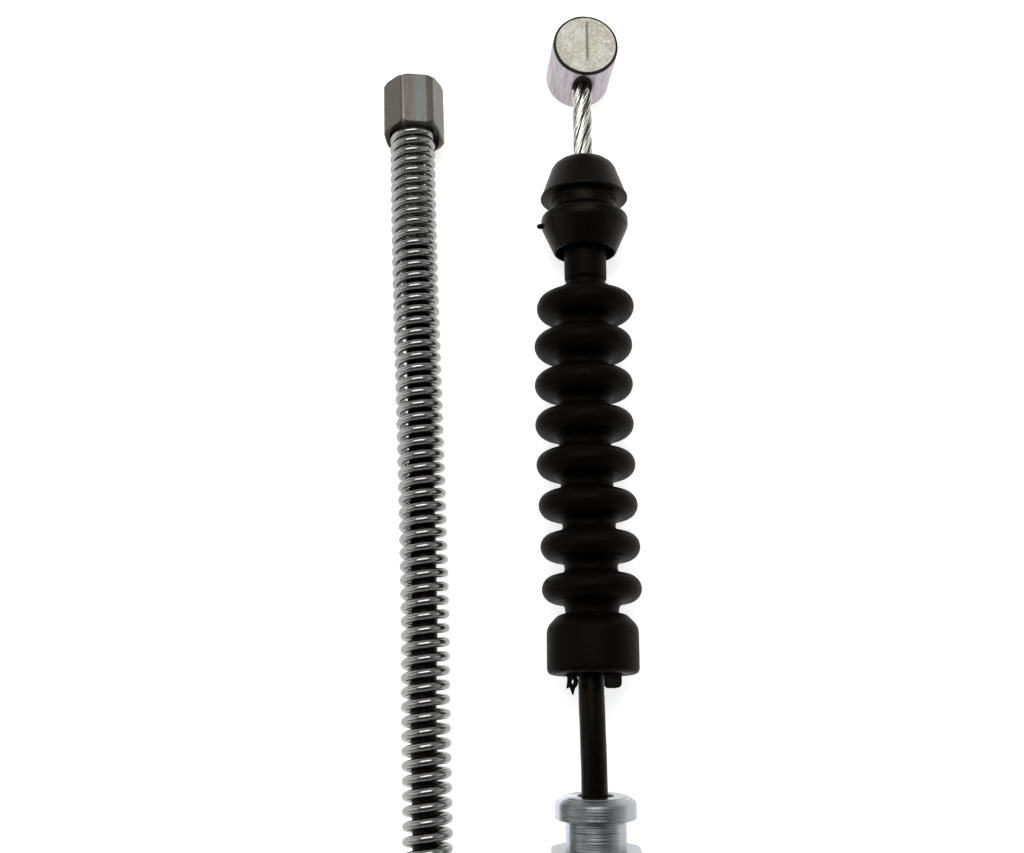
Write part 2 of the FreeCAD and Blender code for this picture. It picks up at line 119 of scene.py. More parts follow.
LEVER_ROUTE = [
    FERRULE @ Vector((0, -CASING_LENGTH - CONDUIT_GAP, 0)),
    Vector((12.7, -86.2, 5.3)),
    Vector((17.2, -104.0, 5.3)),
    Vector((26.9, -119.4, 5.3)),
    Vector((40.4, -133.0, 5.3)),
]
WHEEL_ROUTE = [
    WHEEL @ Vector((0, -CASING_LENGTH - CONDUIT_GAP, 0)),
    Vector((-10.2, -97.4, 10.6)),
    Vector((-13.9, -111.2, 12.4)),
    Vector((-21.0, -123.2, 13.8)),
    Vector((-29.6, -133.0, 14.3)),
]
COIL_CENTRE = Vector((5.4, -168.0, 0.0))
COIL_START = 45.0
COIL_TURNED = 1350.0
POINTS_PER_TURN = 24
OUTER_R, INNER_R = 49.5, 40.5
LOW_Z, HIGH_Z = 5.3, 14.3


def coil_points():
    """Clockwise turns: outer low, inner low, inner high, outer high."""
    points = []
    step = 360.0 / POINTS_PER_TURN
    overshoot = 1 / math.cos(math.radians(step / 2))
    for k in range(1, round(COIL_TURNED / step)):
        turned = k * step
        radius = OUTER_R + (INNER_R - OUTER_R) * (smooth(300, 360, turned) - smooth(990, 1050, turned))
        height = LOW_Z + (HIGH_Z - LOW_Z) * smooth(600, 660, turned)
        angle = math.radians(COIL_START - turned)
        across = Vector((math.cos(angle), math.sin(angle), 0)) * radius * overshoot
        points.append(COIL_CENTRE + across + Vector((0, 0, height)))
    return points


conduit_data = bpy.data.curves.new("conduit", "CURVE")
conduit_data.dimensions = "3D"
conduit_data.bevel_depth = 1.0
conduit_data.bevel_resolution = 8
conduit_data.resolution_u = 8
spline = conduit_data.splines.new("NURBS")
route = LEVER_ROUTE + coil_points() + WHEEL_ROUTE[::-1]
spline.points.add(len(route) - 1)
for place, point in zip(spline.points, route):
    place.co = (*(point * MM), 1.0)
    place.radius = CONDUIT_R * MM
spline.order_u = 3
spline.use_endpoint_u = True
conduit = bpy.data.objects.new("conduit", conduit_data)
bpy.context.scene.collection.objects.link(conduit)


# ---------------------------------------------------------------- meshes

# the vector noise takes its offsets from this seed, and from the clock without one
noise.seed_set(1)


def arc_points(cx, cy, radius, start, end, count):
    """Points on an arc round (cx, cy), from the start angle to the end angle in degrees."""
    points = []
    for i in range(count + 1):
        a = math.radians(start + (end - start) * i / count)
        points.append((cx + radius * math.cos(a), cy + radius * math.sin(a)))
    return points


def rounded(points, count=4):
    """Rounds the corners of a closed outline of (radius, distance) or (radius, distance, fillet) points."""
    result = []
    total = len(points)
    for i in range(total):
        p = Vector(points[i][:2])
        fillet = points[i][2] if len(points[i]) > 2 else 0.0
        if not fillet:
            result.append(tuple(p))
            continue
        back = Vector(points[i - 1][:2]) - p
        ahead = Vector(points[(i + 1) % total][:2]) - p
        reach = min(fillet, back.length * 0.48, ahead.length * 0.48)
        a, b = p + back.normalized() * reach, p + ahead.normalized() * reach
        for k in range(count + 1):
            t = k / count
            result.append(tuple(a * (1 - t) ** 2 + p * (2 * t * (1 - t)) + b * t**2))
    return result


def lathe(profile, steps=96, first_angle=-90.0):
    """A closed outline of (radius, distance) points turned about the Y axis."""
    verts, faces = [], []
    rows = len(profile)
    for k in range(steps):
        a = math.radians(first_angle + 360.0 * k / steps)
        verts += [Vector((r * math.cos(a), y, r * math.sin(a))) for r, y in profile]
    for k in range(steps):
        here, there = k * rows, ((k + 1) % steps) * rows
        for i in range(rows):
            j = (i + 1) % rows
            if profile[i][0] < 1e-6 and profile[j][0] < 1e-6:
                continue
            faces.append((here + i, there + i, there + j, here + j))
    return verts, faces


def tube_along(points, radius, sides):
    """A round capped tube along a line of points."""
    verts, faces = [], []
    count = len(points)
    normal = None
    for i, p in enumerate(points):
        ahead = (points[min(i + 1, count - 1)] - points[max(i - 1, 0)]).normalized()
        if normal is None:
            normal = ahead.orthogonal().normalized()
        normal = (normal - ahead * normal.dot(ahead)).normalized()
        side = ahead.cross(normal)
        for k in range(sides):
            a = TAU * k / sides
            verts.append(p + (normal * math.cos(a) + side * math.sin(a)) * radius)
    for i in range(count - 1):
        for k in range(sides):
            n = (k + 1) % sides
            faces.append((i * sides + k, i * sides + n, (i + 1) * sides + n, (i + 1) * sides + k))
    faces.append(tuple(range(sides))[::-1])
    faces.append(tuple((count - 1) * sides + k for k in range(sides)))
    return verts, faces


def join(*parts):
    """Several (points, faces) meshes as one."""
    verts, faces = [], []
    for v, f in parts:
        faces += [tuple(i + len(verts) for i in face) for face in f]
        verts += v
    return verts, faces


def roughen(verts, amount, size):
    """Moves points by up to the amount, in mm, as small moulding unevenness."""
    for v in verts:
        n = noise.noise_vector(v / size)
        v += n * amount


def make(name, geometry, place, body, replaces=(), sharp=30.0):
    """A mesh object from millimetre geometry, with its own millimetre coordinates kept for its material."""
    verts, faces = geometry
    mesh = bpy.data.meshes.new(name)
    mesh.from_pydata([(place @ v) * MM for v in verts], [], faces)
    own = mesh.attributes.new("own_mm", "FLOAT_VECTOR", "POINT")
    own.data.foreach_set("vector", [c for v in verts for c in v])
    mesh.validate()
    for polygon in mesh.polygons:
        polygon.use_smooth = True
    mesh.set_sharp_from_angle(angle=math.radians(sharp))
    obj = bpy.data.objects.new(name, mesh)
    bpy.context.scene.collection.objects.link(obj)
    fix_normals(mesh)
    if replaces:
        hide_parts(*replaces)
    if body:
        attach(obj, body)
    return obj


def fix_normals(mesh):
    """Merges doubled points and turns every face outwards."""
    work = bmesh.new()
    work.from_mesh(mesh)
    bmesh.ops.remove_doubles(work, verts=work.verts, dist=1e-7)
    bmesh.ops.recalc_face_normals(work, faces=work.faces)
    work.to_mesh(mesh)
    work.free()


# ---------------------------------------------------------------- materials


class Shader:
    """A Principled material whose details come from the piece's own, or its object's, coordinates in mm."""

    def __init__(self, name, own=True):
        self.material = bpy.data.materials.new(name)
        self.material.use_nodes = True
        self.nodes = self.material.node_tree.nodes
        self.links = self.material.node_tree.links
        self.bsdf = self.nodes["Principled BSDF"]
        if own:
            source = self.nodes.new("ShaderNodeAttribute")
            source.attribute_name = "own_mm"
            self.mm = source.outputs["Vector"]
        else:
            source = self.nodes.new("ShaderNodeTexCoord")
            scale = self.nodes.new("ShaderNodeVectorMath")
            scale.operation = "SCALE"
            scale.inputs["Scale"].default_value = 1 / MM
            self.links.new(source.outputs["Object"], scale.inputs[0])
            self.mm = scale.outputs[0]
        split = self.nodes.new("ShaderNodeSeparateXYZ")
        self.links.new(self.mm, split.inputs[0])
        self.x, self.y, self.z = split.outputs
        self.height = None

    def noise(self, scale, detail=4.0, rough=0.55, stretch=None):
        vector = self.mm
        if stretch:
            node = self.nodes.new("ShaderNodeVectorMath")
            node.operation = "MULTIPLY"
            node.inputs[1].default_value = stretch
            self.links.new(vector, node.inputs[0])
            vector = node.outputs[0]
        node = self.nodes.new("ShaderNodeTexNoise")
        node.inputs["Scale"].default_value = scale
        node.inputs["Detail"].default_value = detail
        node.inputs["Roughness"].default_value = rough
        self.links.new(vector, node.inputs["Vector"])
        return node.outputs["Fac"]

    def rings(self, scale, detail=3.0):
        """Random fine lines across the Y axis, as a turning tool leaves them."""
        node = self.nodes.new("ShaderNodeTexNoise")
        node.noise_dimensions = "1D"
        node.inputs["Scale"].default_value = scale
        node.inputs["Detail"].default_value = detail
        self.links.new(self.y, node.inputs["W"])
        return node.outputs["Fac"]

    def math(self, operation, a, b=None):
        node = self.nodes.new("ShaderNodeMath")
        node.operation = operation
        for socket, value in zip(node.inputs, (a, b)):
            if value is None:
                continue
            if isinstance(value, (int, float)):
                socket.default_value = value
            else:
                self.links.new(value, socket)
        return node.outputs[0]

    def axis_distance(self):
        """Distance from the Y axis, in millimetres."""
        return self.math("SQRT", self.math("ADD", self.math("MULTIPLY", self.x, self.x),
                                           self.math("MULTIPLY", self.z, self.z)))

    def between(self, value, low, high, to_low=0.0, to_high=1.0):
        """Maps the value from (low, high) to (to_low, to_high), clamped at both ends."""
        node = self.nodes.new("ShaderNodeMapRange")
        node.inputs["From Min"].default_value = low
        node.inputs["From Max"].default_value = high
        node.inputs["To Min"].default_value = to_low
        node.inputs["To Max"].default_value = to_high
        self.links.new(value, node.inputs["Value"])
        return node.outputs["Result"]

    def mix(self, factor, a, b):
        node = self.nodes.new("ShaderNodeMix")
        node.data_type = "RGBA"
        self.links.new(factor, node.inputs["Factor"])
        for socket, value in ((node.inputs[6], a), (node.inputs[7], b)):
            if isinstance(value, tuple):
                socket.default_value = (*value, 1.0)
            else:
                self.links.new(value, socket)
        return node.outputs[2]

    def colour(self, value):
        if isinstance(value, tuple):
            self.bsdf.inputs["Base Color"].default_value = (*value, 1.0)
        else:
            self.links.new(value, self.bsdf.inputs["Base Color"])
        return self

    def rough(self, value):
        if isinstance(value, float):
            self.bsdf.inputs["Roughness"].default_value = value
        else:
            self.links.new(value, self.bsdf.inputs["Roughness"])
        return self

    def metal(self, value=1.0):
        if isinstance(value, float):
            self.bsdf.inputs["Metallic"].default_value = value
        else:
            self.links.new(value, self.bsdf.inputs["Metallic"])
        return self

    def shine(self, value, warm=False):
        self.bsdf.inputs["Specular IOR Level"].default_value = value
        if warm:
            self.bsdf.inputs["Specular Tint"].default_value = (1.0, 0.82, 0.66, 1.0)
        return self

    def bump(self, height, depth):
        """Adds relief; depth is in millimetres for a height of 1."""
        node = self.nodes.new("ShaderNodeBump")
        node.inputs["Strength"].default_value = 1.0
        node.inputs["Distance"].default_value = depth * MM
        self.links.new(height, node.inputs["Height"])
        if self.height:
            self.links.new(self.height, node.inputs["Normal"])
        self.height = node.outputs["Normal"]
        self.links.new(self.height, self.bsdf.inputs["Normal"])
        return self

    def on(self, *objects):
        for o in objects:
            o.data.materials.clear()
            o.data.materials.append(self.material)
        return self


def dusty_black(name, base, dust, amount, low, high):
    """Black rubber with pale dust and moulding grain."""
    s = Shader(name)
    fine = s.noise(3.2, 8.0, 0.7)
    broad = s.noise(0.35, 3.0)
    speck = s.between(fine, 0.55, 0.75)
    patch = s.between(broad, 0.45, 0.7)
    cover = s.math("MULTIPLY", s.math("MULTIPLY", speck, patch), amount)
    s.colour(s.mix(cover, base, dust))
    s.rough(s.between(fine, 0.3, 0.8, low, high))
    s.bump(s.noise(1.4, 6.0, 0.6), 0.03)
    s.bump(s.noise(9.0, 3.0), 0.012)
    return s


PLATE_TINT, PLATE_SHADE = (0.40, 0.42, 0.44), (0.22, 0.235, 0.235)


def bright_plate(name, tint=PLATE_TINT, shade=PLATE_SHADE, low=0.16, high=0.34, painted_reflections=False):
    """Zinc-plated turned steel with fine rings; asked for, it adds painted reflections along its two sides: a
    bright bluish strip at one edge with a painted dark band beside it, and a lighter strip on the other side.
    """
    s = Shader(name)
    patch = s.between(s.noise(0.5, 3.0), 0.35, 0.65)
    lines = s.rings(7.0, 4.0)
    base = s.mix(patch, tint, s.mix(s.between(lines, 0.35, 0.65), shade, tint))
    if painted_reflections:
        # painted reflections: a painted dark band near the left edge, a painted bright bluish reflection at
        # that edge, and a lighter painted reflection on the right side
        turn = s.math("DIVIDE", s.x, s.axis_distance())
        painted_dark_band = s.math("MULTIPLY", s.between(turn, -0.88, -0.80), s.between(turn, -0.62, -0.72))
        base = s.mix(s.math("MULTIPLY", painted_dark_band, 0.6), base, (0.10, 0.105, 0.11))
        base = s.mix(s.between(turn, -0.86, -0.92), base, (0.56, 0.60, 0.67))
        base = s.mix(s.math("MULTIPLY", s.between(turn, 0.45, 0.75), 0.5), base, (0.40, 0.425, 0.44))
    s.colour(base)
    s.rough(s.between(lines, 0.3, 0.7, low, high))
    s.metal()
    s.bump(lines, 0.06)
    s.bump(s.noise(6.0, 5.0), 0.006)
    return s


# ---------------------------------------------------------------- inner cable, lever end

STRAND_R = 1.6
COAT_R = 1.95
STRANDS, WIRES = 6, 6
STRAND_LAY, WIRE_LAY = 27.0, 11.0
# radii in the rope: its core, the ring of strand middles, the wires in a strand, and one wire
CORE_R, RING_R = STRAND_R * 0.36, STRAND_R * 0.655
BUNDLE_R, ROPE_WIRE_R = STRAND_R * 0.228, STRAND_R * 0.122
STRAND_START, STRAND_END, STRAND_STEP = 63.5, 114.0, 0.5


def strand(path, roll=0.0):
    """Six strands of seven wires laid right-handed round a core, along a path of (point, distance)."""
    parts = [tube_along([p for p, _ in path], CORE_R, 8)]
    for k in range(STRANDS):
        middle = []
        for p, s in path:
            a = roll + TAU * (k / STRANDS + s / STRAND_LAY)
            middle.append((p + Vector((math.cos(a), 0, -math.sin(a))) * RING_R, s))
        for w in range(WIRES):
            points = []
            for p, s in middle:
                a = roll + TAU * (w / WIRES + s / WIRE_LAY)
                points.append(p + Vector((math.cos(a), 0, -math.sin(a))) * BUNDLE_R)
            parts.append(tube_along(points, ROPE_WIRE_R, 6))
        parts.append(tube_along([p for p, _ in middle], ROPE_WIRE_R, 6))
    return join(*parts)


def straight(start, end, step):
    """Points along the Y axis, each with its distance."""
    count = max(2, round((end - start) / step))
    stations = [start + (end - start) * i / count for i in range(count + 1)]
    return [(Vector((0, y, 0)), y) for y in stations]


lever_strand = make("lever_strand_wires", strand(straight(STRAND_START, STRAND_END, STRAND_STEP)), LEVER,
                    "lever_cable", ["lever_strand"])

COAT_END = 65.0
COAT_START = 0.5 - CASING_LENGTH
COAT_SIDES = 32
FERRULE_STEPS, BEND_STEPS, BOOT_STEPS = 40, 24, 130
RIDGE_DEPTH, RIDGE_PITCH = 0.012, 6.0


def lever_coat():
    """The coated cable from inside the ferrule, over its gentle bend, to inside the boot."""
    points = []
    for i in range(FERRULE_STEPS + 1):
        y = COAT_START + (CASING_LENGTH + 0.5) * i / FERRULE_STEPS
        points.append(FERRULE @ Vector((0, y, 0)))
    for i in range(1, BEND_STEPS):
        rise = math.radians(FERRULE_RISE - (FERRULE_RISE + LEVER_DROOP) * i / BEND_STEPS)
        points.append(BEND_CENTRE + Vector((0, -math.sin(rise), math.cos(rise))) * BEND_R)
    for i in range(BOOT_STEPS + 1):
        points.append(LEVER @ Vector((0, BEND_END + (COAT_END - BEND_END) * i / BOOT_STEPS, 0)))
    for p in points:
        along = p.y - LEVER_Y
        p.x -= 0.12 * smooth(-14, -2, along) + 0.25 * smooth(0, 18, along) - 0.37 * smooth(24, 42, along)
    verts, faces = tube_along(points, COAT_R, COAT_SIDES)
    # the strand's lay shows through the coat as faint twisted ridges
    for i, p in enumerate(points):
        for k in range(COAT_SIDES):
            v = verts[i * COAT_SIDES + k]
            out = (v - p).normalized()
            ridge = math.cos(STRANDS * math.atan2(out.x, out.z) - TAU * p.y / RIDGE_PITCH)
            verts[i * COAT_SIDES + k] = v - out * (RIDGE_DEPTH - RIDGE_DEPTH * ridge)
    return verts, faces


coat = make("lever_coat", lever_coat(), Matrix.Identity(4), None, ["lever_core_coat"])
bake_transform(coat)


# ---------------------------------------------------------------- barrel

BARREL_AT, BARREL_R, BARREL_H, BARREL_ROLL = 118.4, 5.35, 11.85, 4.6
BARREL_TURN = Matrix.Rotation(math.radians(BARREL_ROLL), 4, "Y") @ Matrix.Rotation(math.radians(90), 4, "X")
BARREL = LEVER @ Matrix.Translation((0, BARREL_AT, 0)) @ BARREL_TURN
# the recess left by the casting gate, an ellipsoid in the side that the strand goes into
GATE_SIZE = Vector((1.62, 1.0, 4.5))
GATE_AT = Vector((0, BARREL_AT - BARREL_R + 0.1, 0.9))
DENSE_STEP = 0.45
SIDE_SWELL, FACE_SWELL = 0.05, 0.04


def barrel():
    """The cast cylinder along its own Y axis, a little uneven, with a shallow lip round its upper face."""
    half = BARREL_H / 2
    profile = rounded([
        (0, -half), (BARREL_R - 0.4, -half, 0.2), (BARREL_R, 0.4 - half, 0.3),
        (BARREL_R, half - 0.5, 0.25), (BARREL_R - 0.12, half - 0.1, 0.1),
        (BARREL_R - 0.42, half - 0.02, 0.08), (BARREL_R - 0.5, half - 0.1, 0.05), (0, half - 0.1),
    ])
    dense = []
    for a, b in zip(profile, profile[1:]):
        count = max(1, round((Vector(a) - Vector(b)).length / DENSE_STEP))
        dense += [tuple(Vector(a).lerp(Vector(b), i / count)) for i in range(count)]
    dense.append(profile[-1])
    verts, faces = lathe(dense, 144)
    for v in verts:
        side = math.hypot(v.x, v.z)
        if side > 1e-6:
            swell = noise.noise(v / 2.6) * SIDE_SWELL
            v.x, v.z = v.x * (1 + swell / BARREL_R), v.z * (1 + swell / BARREL_R)
        if abs(v.y) > half - 0.3:
            v.y += noise.noise(v / 1.5 + Vector((7, 0, 0))) * FACE_SWELL
    return verts, faces


def cut_gate(obj):
    """Cuts the gate's recess out of the barrel and gives the new points their own coordinates again."""
    verts, faces = lathe(arc_points(0, 0, 1, -90, 90, 16), 48)
    mesh = bpy.data.meshes.new("gate")
    mesh.from_pydata([(LEVER @ (GATE_AT + v * GATE_SIZE)) * MM for v in verts], [], faces)
    fix_normals(mesh)
    cutter = bpy.data.objects.new("gate", mesh)
    bpy.context.scene.collection.objects.link(cutter)
    cut = obj.modifiers.new("gate", "BOOLEAN")
    cut.operation = "DIFFERENCE"
    cut.solver = "EXACT"
    cut.object = cutter
    bpy.context.view_layer.update()
    cut_mesh = bpy.data.meshes.new_from_object(obj.evaluated_get(bpy.context.evaluated_depsgraph_get()))
    obj.modifiers.clear()
    obj.data = cut_mesh
    bpy.data.objects.remove(cutter)
    back = BARREL.inverted()
    own = cut_mesh.attributes["own_mm"]
    own.data.foreach_set("vector", [c for v in cut_mesh.vertices for c in back @ (v.co / MM)])


casting = make("barrel_casting", barrel(), BARREL, None, ["barrel_end"])
cut_gate(casting)
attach(casting, "lever_cable")


# ---------------------------------------------------------------- boot

ROOT_R, WALL = 4.05, 1.0
BELLOWS_BOTTOM = 22.4
BELLOWS_BOW = 0.62
CUFF_START, CUFF_END, CUFF_R, CUFF_NECK_R, CUFF_BORE_R = 79.4, 91.2, 3.36, 2.97, 2.25


def bellows_side(depth):
    """The wavy outline of the convolutions, a depth inside their outer surface."""
    root_arc = PITCH / 2 - CROWN_ARC
    root_centre = ROOT_R + root_arc
    points = []
    for i in range(CONVOLUTIONS):
        y = FIRST_CONVOLUTION + i * PITCH
        crown = CROWN_R_LOW + (CROWN_R_HIGH - CROWN_R_LOW) * i / (CONVOLUTIONS - 1) - CROWN_ARC
        points += arc_points(root_centre, y - PITCH / 2, root_arc + depth, 180, 90, 6)[:-1]
        points += arc_points(crown, y, CROWN_ARC - depth, -90, 90, 14)
        points += arc_points(root_centre, y + PITCH / 2, root_arc + depth, 270, 180, 6)[1:]
    return points


def bellows():
    """The convolutions, the cuff above them that plugs into the cap, and the collar's stub below."""
    low = FIRST_CONVOLUTION - PITCH / 2
    high = FIRST_CONVOLUTION + (CONVOLUTIONS - 0.5) * PITCH
    top = rounded([
        (ROOT_R, high), (CUFF_NECK_R, high + 0.2, 0.25), (CUFF_NECK_R, CUFF_START, 0.3),
        (CUFF_R - 0.05, CUFF_START + 0.3, 0.4), (CUFF_R, CUFF_START + 1.2, 0.5), (CUFF_R, CUFF_END),
        (CUFF_BORE_R, CUFF_END), (CUFF_BORE_R, high - 0.2), (ROOT_R - WALL, high),
    ], 5)
    bottom = [(ROOT_R - WALL, low), (ROOT_R - WALL, BELLOWS_BOTTOM), (ROOT_R, BELLOWS_BOTTOM), (ROOT_R, low)]
    profile = bellows_side(0.0) + top[1:] + bellows_side(WALL)[::-1][1:] + bottom[1:-1]
    verts, faces = lathe(profile, 128)
    roughen(verts, 0.05, 4.0)
    for v in verts:
        v.x -= BELLOWS_BOW * smooth(30.0, 56.0, v.y) * (1 - smooth(66.0, 79.0, v.y))
    return verts, faces


def lump(centre, reach, width, out):
    """A small rounded lump or pip: an ellipsoid of that reach outwards and that width across."""
    verts, faces = [], []
    rows, cols = 7, 12
    side = out.orthogonal().normalized()
    up = out.cross(side)
    for i in range(rows + 1):
        t = math.pi * i / rows
        for k in range(cols):
            a = TAU * k / cols
            across = (side * math.cos(a) * width + up * math.sin(a) * width) * max(math.sin(t), 1e-3)
            verts.append(centre + out * (reach * math.cos(t)) + across)
    for i in range(rows):
        for k in range(cols):
            n = (k + 1) % cols
            faces.append((i * cols + k, (i + 1) * cols + k, (i + 1) * cols + n, i * cols + n))
    return verts, faces


def mark(radius, y, angle, size, thickness=0.1):
    """A small raised rounded mark on a round surface, at an angle from +X towards +Z."""
    a = math.radians(angle)
    out = Vector((math.cos(a), 0, math.sin(a)))
    return lump(out * radius + Vector((0, y, 0)), thickness, size, out)


boot_marks = [
    mark(7.42, FIRST_CONVOLUTION + 0.6, 158, 0.5),
    mark(7.5, FIRST_CONVOLUTION + 2 * PITCH + 0.4, 160, 0.45),
    mark(7.6, FIRST_CONVOLUTION + 5 * PITCH + 0.5, 157, 0.45),
]
boot = make("bellows_boot", join(bellows(), *boot_marks), LEVER, None, ["bellows"], 50.0)
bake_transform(boot)

COLLAR_BOTTOM, COLLAR_SHOULDER, COLLAR_TOP, COLLAR_R, LIP_R = 17.5, 24.7, 26.4, 6.9, 4.4
COLLAR_GROOVE_R = 6.05
TORN_ANGLE, PLAIN_ANGLE = 140, 46
EYELET_SIDES = 24


def flap(outline, radius, thickness, place_angle):
    """A torn flap of flash: an outline of (distance round, distance along) bent round the lip."""
    count = len(outline)
    verts = []
    for r in (radius, radius - thickness):
        for u, y in outline:
            a = math.radians(place_angle) - u / radius
            verts.append(Vector((r * math.cos(a), y, r * math.sin(a))))
    faces = [tuple(range(count)), tuple(range(count, 2 * count))[::-1]]
    for i in range(count):
        j = (i + 1) % count
        faces.append((i, i + count, j + count, j))
    return verts, faces


def eyelet(radius, place_angle, u, y, outer, inner, thickness):
    """The ring of flash round a hole."""
    a = math.radians(place_angle) - u / radius
    out = Vector((math.cos(a), 0, math.sin(a)))
    side = Vector((math.sin(a), 0, -math.cos(a)))
    verts, faces = [], []
    section = ((0, inner), (0.06, (inner + outer) / 2), (0, outer), (-thickness, outer), (-thickness, inner))
    for depth, r in section:
        for k in range(EYELET_SIDES):
            t = TAU * k / EYELET_SIDES
            around = (side * math.cos(t) + Vector((0, 1, 0)) * math.sin(t)) * r
            verts.append(out * (radius + depth) + Vector((0, y, 0)) + around)
    for row in range(len(section)):
        here, there = row * EYELET_SIDES, (row + 1) % len(section) * EYELET_SIDES
        for k in range(EYELET_SIDES):
            n = (k + 1) % EYELET_SIDES
            faces.append((here + k, here + n, there + n, there + k))
    return verts, faces


def collar():
    """The rubber collar with a groove inside for the ferrule's flange, and the flash left on its lip."""
    profile = rounded([
        (LIP_R, COLLAR_BOTTOM, 0.3), (COLLAR_R, COLLAR_BOTTOM, 1.0), (COLLAR_R, COLLAR_SHOULDER - 0.2, 1.0),
        (ROOT_R + 1.1, COLLAR_TOP - 0.1, 0.5), (ROOT_R + 0.06, COLLAR_TOP, 0.1), (ROOT_R + 0.06, 22.2),
        (COLLAR_GROOVE_R, 21.8, 0.2), (COLLAR_GROOVE_R, COLLAR_BOTTOM + 1.4, 0.3),
        (LIP_R, COLLAR_BOTTOM + 1.1, 0.3),
    ], 6)
    verts, faces = lathe(profile, 128)
    roughen(verts, 0.05, 3.5)
    r, low = LIP_R, COLLAR_BOTTOM
    torn = [
        flap([(-1.5, low + 0.5), (1.5, low + 0.5), (1.25, low - 0.5), (0.8, low - 0.45), (-0.8, low - 0.45),
              (-1.2, low - 0.7)], r, 0.4, TORN_ANGLE),
        flap([(-0.75, low - 1.7), (0.75, low - 1.7), (0.35, low - 2.3), (0.05, low - 3.1), (-0.3, low - 2.4)],
             r, 0.3, TORN_ANGLE),
        flap([(-0.75, low - 1.2), (-0.8, low - 1.7), (-1.5, low - 2.1), (-1.35, low - 1.4)],
             r, 0.3, TORN_ANGLE),
        eyelet(r + 0.05, TORN_ANGLE, 0.0, low - 1.2, 0.98, 0.40, 0.45),
    ]
    plain = [
        flap([(-1.9, low + 0.5), (1.7, low + 0.5), (1.85, low - 1.0), (1.6, low - 1.7), (0.9, low - 2.05),
              (-0.1, low - 2.2), (-1.4, low - 2.2), (-1.8, low - 1.9), (-1.8, low - 0.8)],
             r, 0.6, PLAIN_ANGLE),
        flap([(-1.7, low - 1.55), (1.5, low - 1.35), (1.0, low - 1.85), (-1.5, low - 2.0)],
             r + 0.12, 0.2, PLAIN_ANGLE),
    ]
    return join((verts, faces), *torn, *plain, mark(6.75, COLLAR_SHOULDER - 0.9, 160, 0.55, 0.16))


collar_piece = make("boot_collar_rubber", collar(), LEVER, "boot_collar", ["boot_collar"],
                    40.0)

CAP_BOTTOM, CAP_TOP, CAP_R, CAP_CORE_R = 84.4, 100.2, 7.05, 5.3
PIP_AT = Vector((-7.1, 88.8, 0.6))


def cap():
    """The hard cap with a groove round it, hollow below for the cuff, with a moulding pip on its left."""
    rim = CAP_BOTTOM + 9.2
    profile = [
        (CUFF_R + 1.35, CAP_BOTTOM, 0.08), (5.0, CAP_BOTTOM, 0.12), (CAP_R - 0.05, CAP_BOTTOM + 4.5, 0.4),
        (CAP_R - 0.05, CAP_BOTTOM + 5.9, 0.35), (CAP_CORE_R, CAP_BOTTOM + 7.0, 0.3),
        (CAP_CORE_R, rim - 0.1, 0.15), (CAP_R, rim, 0.15), (CAP_R, rim + 0.5, 0.35),
    ]
    profile = rounded(profile, 4)
    profile += [(5.6, CAP_TOP - 2.4), (5.3, CAP_TOP - 1.5), (4.85, CAP_TOP - 0.8), (4.2, CAP_TOP - 0.25),
                (3.3, CAP_TOP)]
    profile += [(STRAND_R + 0.06, CAP_TOP), (STRAND_R + 0.06, CUFF_END + 0.1),
                (CUFF_R + 0.06, CUFF_END + 0.1), (CUFF_R + 0.06, CAP_BOTTOM + 4.0)]
    verts, faces = lathe(profile, 128)
    roughen(verts, 0.02, 3.0)
    pip = lump(PIP_AT, 0.65, 0.46, Vector((-1, 0, 0)))
    return join((verts, faces), pip)


cap_piece = make("grooved_cap", cap(), LEVER, "boot_cap", ["boot_cap"])


# ---------------------------------------------------------------- ferrule, nut and sleeve, lever end

NECK_R, FERRULE_BORE_R = 4.45, 2.65
NUT_CORNER_R, NUT_BACK, NUT_FRONT = 7.5, -12.0, -7.4
SLEEVE_R, CRIMP_DENT = 5.6, 0.45
LEVER_SLEEVE_FRONT, WHEEL_SLEEVE_FRONT = -12.2, -15.9
HEX_SIDES, BEVEL_ROWS = 120, 4
SKIRT_TOP, SKIRT_LOW = 2.4, -1.2


def ferrule():
    """The turned ferrule: a nose, a flange, a neck with two fine rings, and the coated cable's bore."""
    profile = rounded([
        (2.7, 0.15, 0.12), (4.6, 0.15, 0.06), (4.78, -0.05, 0.06), (5.25, -0.05, 0.06), (6.0, -0.75, 0.25),
        (6.0, -3.05, 0.12), (NECK_R, -3.05, 0.05), (NECK_R, -3.3, 0.05), (4.4, -3.4, 0.05),
        (NECK_R, -3.5, 0.05), (NECK_R, -4.6), (4.41, -4.68), (NECK_R, -4.76), (NECK_R, -5.8), (4.41, -5.88),
        (NECK_R, -5.96), (NECK_R, -13.0), (FERRULE_BORE_R, -13.0), (FERRULE_BORE_R, -3.6), (3.3, -3.6),
        (3.3, -1.6), (2.7, -1.6),
    ], 4)
    return lathe(profile, 128)


